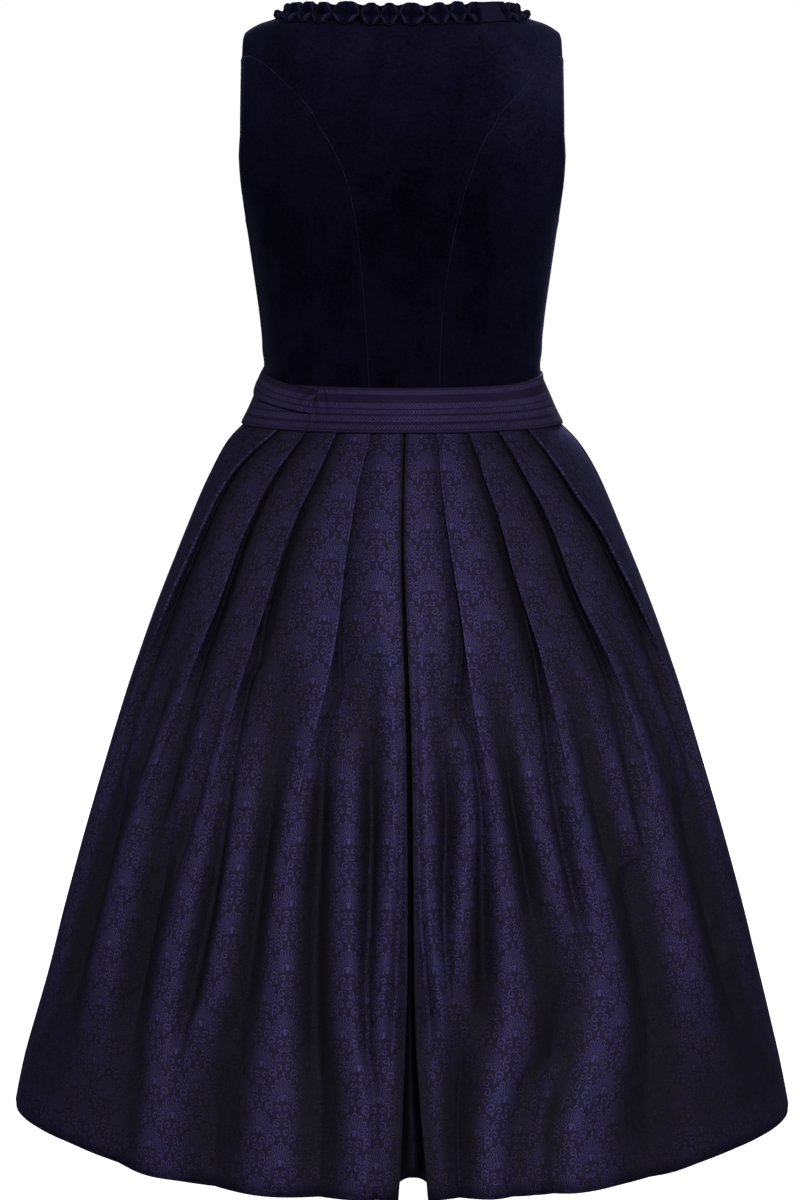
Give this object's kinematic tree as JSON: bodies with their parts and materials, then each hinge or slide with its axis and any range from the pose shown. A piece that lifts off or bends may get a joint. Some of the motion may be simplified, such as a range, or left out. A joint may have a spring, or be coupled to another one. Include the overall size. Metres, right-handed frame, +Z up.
{
  "type": "dirndl dress",
  "caption": "Sleeveless dirndl in worn form: princess-seamed velvet bodice, ruched neckline, pleated damask skirt, apron with a striped band and bow.",
  "frame": {"origin": "midway between the shoulders, at the height where they carry the dress", "axes": "+Z up, +Y towards the wearer's front, +X towards the wearer's right"},
  "size_m": [0.7368, 0.6116, 1.04],
  "materials": {
    "velvet": "dark navy cotton velvet, matt",
    "trim": "dark navy ruched velvet ribbon",
    "damask": "dark violet navy satin jacquard damask",
    "apron": "dark violet satin",
    "ribbon": "dark violet striped jacquard ribbon"
  },
  "bodies": {
    "root": {"bodice_back": "velvet", "bodice_side_back_left": "velvet", "bodice_side_back_right": "velvet", "bodice_side_front_left": "velvet", "bodice_side_front_right": "velvet", "bodice_front_left": "velvet", "bodice_front_right": "velvet", "neck_trim_back": "trim", "neck_trim_front_left": "trim", "neck_trim_front_right": "trim", "skirt_back": "damask", "skirt_front": "damask", "band_back": "ribbon", "band_left": "ribbon", "band_front": "ribbon", "tie_strip": "ribbon", "apron": "apron", "bow_knot": "ribbon", "bow_loop_left": "ribbon", "bow_loop_right": "ribbon", "bow_tail_left": "ribbon", "bow_tail_right": "ribbon"}
  },
  "joints": []
}
